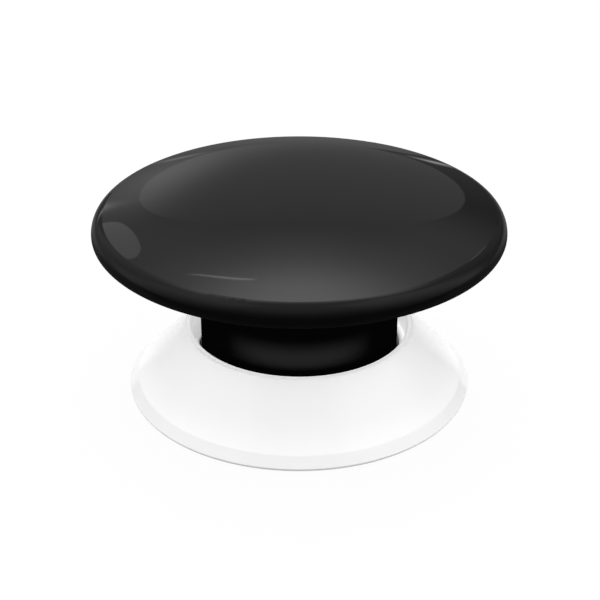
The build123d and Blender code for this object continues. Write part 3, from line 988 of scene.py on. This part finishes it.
@dataclass
class HeadAssembly(Assembly):
    """The black neck with the cell, the circuit board and the springs under the cap.

    Attributes:
        wire: The return spring's wire.
        turns: How many turns it has.
        wire_sides: How many sides its wire has.
        turn_steps: How many lengths a turn has.
        travel: How far the cap and the plunger go down, which is not used.
        dome_radius: The radius of the snap dome's foot.
        dome_rise: The height of its hollow.
        dome_sheet: The thickness of its sheet.
        dome_steps: How many steps its section has on either side of the sheet.
        dome_segments: How many segments it has all round.
    """

    wire: float = 0.45 * MM
    turns: int = 3
    wire_sides: int = 16
    turn_steps: int = 64
    travel: float = 0.4 * MM
    dome_radius: float = 2.1 * MM
    dome_rise: float = 0.4 * MM
    dome_sheet: float = 0.1 * MM
    dome_steps: int = 12
    dome_segments: int = 72

    def build(self) -> None:
        """Model the return spring and the switch's snap dome."""
        self.add_springy(self.wound_spring(), SPRING_WIRE, "return_spring", "cap_press")
        self.add_springy(self.pressed_dome(), GOLD_CONTACT, "snap_dome", "plunger_press")

    def add_springy(self, piece: bpy.types.Object, finish: Finish, node: str, joint: str) -> None:
        """Add a piece on the head in place of a node, and give it a mesh of its own.

        Args:
            piece: The piece.
            finish: Its finish.
            node: The node that it stands for.
            joint: The joint that it follows, which is not used.
        """
        self.add(piece, Body.HEAD, finish, node)
        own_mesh(piece)

    def wound_spring(self) -> bpy.types.Object:
        """Wind the return spring by spinning a section of its wire.

        Returns:
            The spring.
        """
        low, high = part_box("return_spring")
        radius = high[0] - 0.5 * self.wire
        rise = high[2] - low[2] - self.wire
        lead = math.atan2(rise, math.tau * self.turns * radius)
        place = Matrix.Translation((radius, 0.0, low[2] + 0.5 * self.wire))
        tilt = Matrix.Rotation(math.radians(90.0) + lead, 4, "X")
        mesh = bmesh.new()
        bmesh.ops.create_circle(mesh, radius=0.5 * self.wire, segments=self.wire_sides, matrix=place @ tilt)
        steps = self.turns * self.turn_steps
        bmesh.ops.spin(
            mesh, geom=mesh.verts[:] + mesh.edges[:], cent=(0.0, 0.0, 0.0), axis=(0.0, 0.0, 1.0),
            dvec=(0.0, 0.0, rise / steps), angle=math.tau * self.turns, steps=steps,
        )
        bmesh.ops.holes_fill(mesh, edges=mesh.edges[:], sides=0)
        bmesh.ops.recalc_face_normals(mesh, faces=mesh.faces[:])
        return as_piece("wound_spring", mesh)

    def pressed_dome(self) -> bpy.types.Object:
        """Turn the thin dished disc that snaps under the plunger.

        Returns:
            The disc.
        """
        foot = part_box("snap_dome")[0][2]
        form = (self.dome_radius**2 + self.dome_rise**2) / (2.0 * self.dome_rise)
        swing = math.asin(self.dome_radius / form)
        centre = (0.0, foot + self.dome_rise - form)
        outer = form + self.dome_sheet
        outline = Outline((0.0, foot + self.dome_rise))
        outline.arc(centre, math.degrees(swing), self.dome_steps)
        outline.line(outer * math.sin(swing), centre[1] + outer * math.cos(swing))
        outline.arc(centre, -math.degrees(swing), self.dome_steps)
        return outline.turned("pressed_dome", self.dome_segments)

    def finish(self) -> None:
        """Dress the nodes."""
        finishes = {
            BLACK_NECK: ("neck_housing",),
            BLACK_PLASTIC: (
                "cell_cradle", "battery_gasket", "switch_body", "control_chip", "capacitor_base",
            ),
            NICKEL_STEEL: (
                "battery_can", "battery_cap", "switch_cover", "radio_shield", "crystal", "buffer_capacitor",
            ),
            GOLD_CONTACT: ("positive_contact", "negative_contact", "switch_legs", "antenna_wire"),
            GREEN_BOARD: ("main_board",),
            ZINC_SCREW: ("board_screws",),
            BROWN_CERAMIC: ("board_parts",),
        }
        for finish, nodes in finishes.items():
            for node in nodes:
                self.dress(node, finish)


@dataclass
class CapAssembly(Assembly):
    """The black lens-shaped cap, and the switch plunger that it pushes.

    Attributes:
        pad_edge: The radius of the silicone pad's lower edge.
        pad_ring: The radius of the ring of vertices in its faces, as a share of the pad's.
        pad_steps: How many steps its lower edge has.
        pad_segments: How many segments the pad has all round.
    """

    pad_edge: float = 0.12 * MM
    pad_ring: float = 0.6
    pad_steps: int = 6
    pad_segments: int = 96

    def build(self) -> None:
        """Model the silicone pad between cap and plunger, with its rounded lower edge."""
        low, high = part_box("actuator_pad")
        radius, bottom, top = high[0], low[2], high[2]
        inside, ring = radius - self.pad_edge, self.pad_ring * radius
        outline = Outline((0.0, bottom)).line(ring, bottom).line(inside, bottom)
        outline.arc((inside, bottom + self.pad_edge), -90.0, self.pad_steps)
        outline.line(radius, top).line(ring, top).line(0.0, top)
        pad = outline.turned("silicone_pad", self.pad_segments)
        self.add(pad, Body.CAP, GREY_SILICONE, "actuator_pad")

    def finish(self) -> None:
        """Dress the nodes."""
        self.dress("cap_dome", BLACK_CAP)
        self.dress("cap_dish", BLACK_CAP)
        self.dress("switch_plunger", RED_PLUNGER)


# Studio


@dataclass(frozen=True)
class Heading:
    """A direction on the studio's dome, in degrees, as shader values.

    Attributes:
        azimuth: From behind the button towards its right.
        elevation: Above the floor.
        narrowing: How much closer together azimuths are at that elevation.
    """

    azimuth: Shade
    elevation: Shade
    narrowing: Shade


@dataclass(frozen=True)
class Glow:
    """A soft patch of light on the dome, in degrees.

    Attributes:
        azimuth: Its middle sideways.
        elevation: Its middle upwards.
        width: Its spread sideways.
        height: Its spread upwards.
        level: Its brightness in the middle.
        slant: How far it leans sideways for each degree upwards.
    """

    azimuth: float
    elevation: float
    width: float
    height: float
    level: float
    slant: float = 0.0

    def light(self, heading: Heading) -> Shade:
        """Work out its light in a direction."""
        rise = heading.elevation - self.elevation
        sideways = (heading.azimuth - self.azimuth - self.slant * rise) * heading.narrowing / self.width
        upwards = rise / self.height
        spread = sideways * sideways + upwards * upwards
        return self.level * (-1.0 * spread).math("EXPONENT")


@dataclass(frozen=True)
class Panel:
    """A softbox with a clear oval edge, in degrees.

    Attributes:
        azimuth: Its middle sideways.
        elevation: Its middle upwards.
        half_width: Half its width.
        half_height: Half its height.
        level: Its brightness.
        slant: How far it leans sideways for each degree upwards.
        climb: How far it rises for each degree sideways.
        bow: How that rise changes with the square of the degrees sideways.
        taper: How much wider it is at its top than in its middle, as a share.
        edge: How soft its edge is, as a share of its size.
    """

    azimuth: float
    elevation: float
    half_width: float
    half_height: float
    level: float
    slant: float = 0.0
    climb: float = 0.0
    bow: float = 0.0
    taper: float = 0.0
    edge: float = 0.1

    def mask(self, heading: Heading) -> Shade:
        """Give 1 inside the panel.

        Args:
            heading: The direction that is looked at.

        Returns:
            The mask.
        """
        rise = heading.elevation - self.elevation
        turn = heading.azimuth - self.azimuth
        upwards = (rise - self.climb * turn - self.bow * turn * turn) / self.half_height
        sideways = (turn - self.slant * rise) / (self.half_width * (1.0 + self.taper * upwards))
        spread = sideways * sideways + upwards * upwards
        return 1.0 - spread.ease(1.0 - self.edge, 1.0 + self.edge)

    def light(self, heading: Heading) -> Shade:
        """Work out its light in a direction."""
        return self.level * self.mask(heading)


GLOWS = (
    Glow(0.0, 59.5, 21.0, 9.5, 5.6),
    Glow(-14.0, 13.0, 5.5, 12.0, 1.15, slant=-0.45),
    Glow(-22.0, 16.0, 5.0, 8.0, 0.3),
    Glow(-20.8, 15.6, 1.4, 1.7, 4.5),
    Glow(-25.5, 11.5, 1.8, 4.0, 2.6, slant=1.12),
    Glow(10.3, 2.2, 1.0, 0.8, 3.0, slant=1.5),
    Glow(-8.9, 1.3, 1.5, 0.8, 0.9, slant=-1.3),
)
PANELS = (
    Panel(-23.05, 29.4, 1.65, 7.25, 1.2, slant=-0.17, edge=0.06),
    Panel(-14.8, 50.6, 5.5, 0.29, 4.5, climb=0.493, bow=-0.03, edge=0.4),
    Panel(29.6, 31.0, 1.2, 7.0, 2.5, slant=0.5, edge=0.5),
)


@dataclass(frozen=True)
class Sky:
    """The dome's even light: a window behind the button between two darker walls, and the room.

    Attributes:
        window: The window.
        window_foot: The window's brightness at the floor.
        window_rise: How that grows upwards.
        wall_foot: The walls' brightness at the floor.
        wall_rises: How that grows upwards.
        corner: How the walls' upper parts grow brighter sideways.
        corner_rise: The elevations over which that sets in.
        wall_end: The azimuths over which the walls give way to the room, on both sides.
        room_foot: The room's brightness at the floor.
        room_rise: How that grows upwards.
        room_sides: How much brighter the room is beside the button.
        room_right: How the room's right half differs from its left.
        low_shade: How much darker the room is near the floor between the walls and the sides.
        low_rise: The elevations over which that ends.
        low_turn: The azimuths over which that ends, on both sides.
        zenith: The elevations over which all this gives way to the ceiling.
        ceiling: The ceiling's brightness.
    """

    window: Panel = Panel(0.33, 18.15, 16.84, 20.02, 1.0, taper=0.326, edge=0.008)
    window_foot: float = 0.69
    window_rise: Step = Step(4.0, 38.0, 0.46)
    wall_foot: float = 0.34
    wall_rises: tuple[Step, ...] = (Step(17.0, 39.0, 0.8), Step(36.0, 46.0, 0.45))
    corner: Step = Step(8.0, 22.0, 0.25)
    corner_rise: Point = (20.0, 40.0)
    wall_end: Point = (25.0, 36.0)
    room_foot: float = 0.95
    room_rise: Step = Step(10.0, 50.0, 0.4)
    room_sides: Hump = Hump((60.0, 90.0), (125.0, 150.0), 0.68)
    room_right: tuple[Hump, ...] = (
        Hump((60.0, 90.0), (120.0, 165.0), 0.2),
        Hump((20.0, 30.0), (60.0, 90.0), -0.4),
    )
    low_shade: float = 0.38
    low_rise: Point = (3.0, 18.0)
    low_turn: Point = (55.0, 80.0)
    zenith: Point = (62.0, 84.0)
    ceiling: float = 1.38

    def level(self, heading: Heading) -> Shade:
        """Work out the brightness in a direction.

        Args:
            heading: The direction that is looked at.

        Returns:
            The brightness there.
        """
        turn = abs(heading.azimuth)
        rise = heading.elevation
        window = self.window_foot + self.window_rise.at(rise)
        wall: Value = self.wall_foot
        for step in self.wall_rises:
            wall = wall + step.at(rise)
        wall = wall + self.corner.at(turn) * rise.ease(*self.corner_rise)
        room = self.room_foot + self.room_sides.at(turn) + self.room_rise.at(rise)
        for hump in self.room_right:
            room = room + hump.at(heading.azimuth)
        low = (1.0 - rise.ease(*self.low_rise)) * (1.0 - turn.ease(*self.low_turn))
        room = room * (1.0 - self.low_shade * low)
        behind = self.window.mask(heading).blend(wall, window)
        around = turn.ease(*self.wall_end).blend(behind, room)
        return rise.ease(*self.zenith).blend(around, self.ceiling)


@dataclass
class Studio:
    """White floor, soft light from all round and the photograph's camera.

    Attributes:
        eye: The camera's place in metres.
        look_down: How far it looks down, in degrees.
        lens: Its focal length in millimetres.
        sensor: Its sensor's width in millimetres.
        shift: Its sideways shift.
        near: The distance from which it sees, in metres.
        dimmed: The share of the dome's light that is kept.
        floor_size: Half the floor's side in metres.
        floor_matt: The brightness of the floor under the light.
        floor_white: The share of the floor that is plain white to the camera.
        floor_behind: The brightness of the floor behind the button in mirrored light.
        floor_before: The same in front of the button.
        behind: The depths over which the first sets in, in metres.
        before: The depths over which the second ends, in metres.
    """

    eye: Triple = (0.0, -0.14174, 0.08673)
    look_down: float = 28.27
    lens: float = 84.26
    sensor: float = 36.0
    shift: float = 0.00133
    near: float = 0.001
    dimmed: float = 0.9
    floor_size: float = 3.0
    floor_matt: float = 0.72
    floor_white: float = 0.96
    floor_behind: float = 0.63
    floor_before: float = 0.5
    behind: Point = (0.02, 0.08)
    before: Point = (-0.045, -0.018)

    def build(self) -> None:
        """Build the whole studio."""
        self.place_camera()
        self.lay_floor()
        self.light_dome()
        bpy.context.scene.view_settings.view_transform = "Standard"
        LOG.info("studio: camera, floor and dome")

    def place_camera(self) -> None:
        """Put the camera where the photograph's was."""
        data = bpy.data.cameras.new("camera")
        data.lens = self.lens
        data.sensor_width = self.sensor
        data.shift_x = self.shift
        data.clip_start = self.near
        camera = bpy.data.objects.new("camera", data)
        camera.location = self.eye
        camera.rotation_euler = (math.radians(90.0 - self.look_down), 0.0, 0.0)
        bpy.context.scene.collection.objects.link(camera)
        bpy.context.scene.camera = camera

    def lay_floor(self) -> None:
        """Lay a white floor that keeps a faint shadow."""
        mesh = bmesh.new()
        bmesh.ops.create_grid(mesh, x_segments=1, y_segments=1, size=self.floor_size)
        floor = as_piece("floor", mesh)
        material = bpy.data.materials.new("floor")
        material.use_nodes = True
        tree = material.node_tree
        maker = NodeMaker(tree)
        tree.nodes.remove(tree.nodes["Principled BSDF"])
        matt = maker.add("ShaderNodeBsdfDiffuse", inputs={"Color": scaled(WHITE, self.floor_matt)})
        depth = maker.axis(maker.place(), "Y")
        mirrored = 1.0 - (1.0 - self.floor_behind) * depth.ease(*self.behind)
        mirrored = mirrored - (1.0 - self.floor_before) * (1.0 - depth.ease(*self.before))
        level = maker.ray("Is Camera Ray").blend(mirrored, 1.0)
        white = maker.add("ShaderNodeEmission", inputs={"Strength": level})
        share = self.floor_white * maker.seen()
        mixed = maker.add("ShaderNodeMixShader", inputs={0: share, 1: matt, 2: white})
        maker.feed(tree.nodes["Material Output"].inputs["Surface"], mixed)
        floor.data.materials.append(material)

    def light_dome(self) -> None:
        """Light the button from a white dome, which the camera sees as plain white."""
        world = bpy.data.worlds.new("dome")
        bpy.context.scene.world = world
        world.use_nodes = True
        tree = world.node_tree
        maker = NodeMaker(tree)
        towards = maker.add("ShaderNodeTexCoord", out="Generated")
        azimuth = maker.axis(towards, "X").math("ARCTAN2", maker.axis(towards, "Y")) * DEGREES
        elevation = maker.axis(towards, "Z").math("ARCSINE") * DEGREES
        heading = Heading(azimuth, elevation, (elevation / DEGREES).math("COSINE"))
        level = Sky().level(heading)
        for light in (*GLOWS, *PANELS):
            level = level + light.light(heading)
        level = level * self.dimmed
        strength = maker.ray("Is Camera Ray").blend(level.math("MAXIMUM", 0.0), 1.0)
        background = tree.nodes["Background"]
        maker.feed(background.inputs["Strength"], strength)
        maker.feed(background.inputs["Color"], WHITE)


def main() -> None:
    """Load the frame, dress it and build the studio."""
    logging.basicConfig(level=logging.INFO, format="%(name)s: %(message)s")
    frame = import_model()
    Studio().build()
    finishes = Finishes()
    for kind in (BaseAssembly, HeadAssembly, CapAssembly):
        assembly = kind(frame["nodes"], finishes)
        assembly.build()
        assembly.finish()


if __name__ == "__main__":
    main()
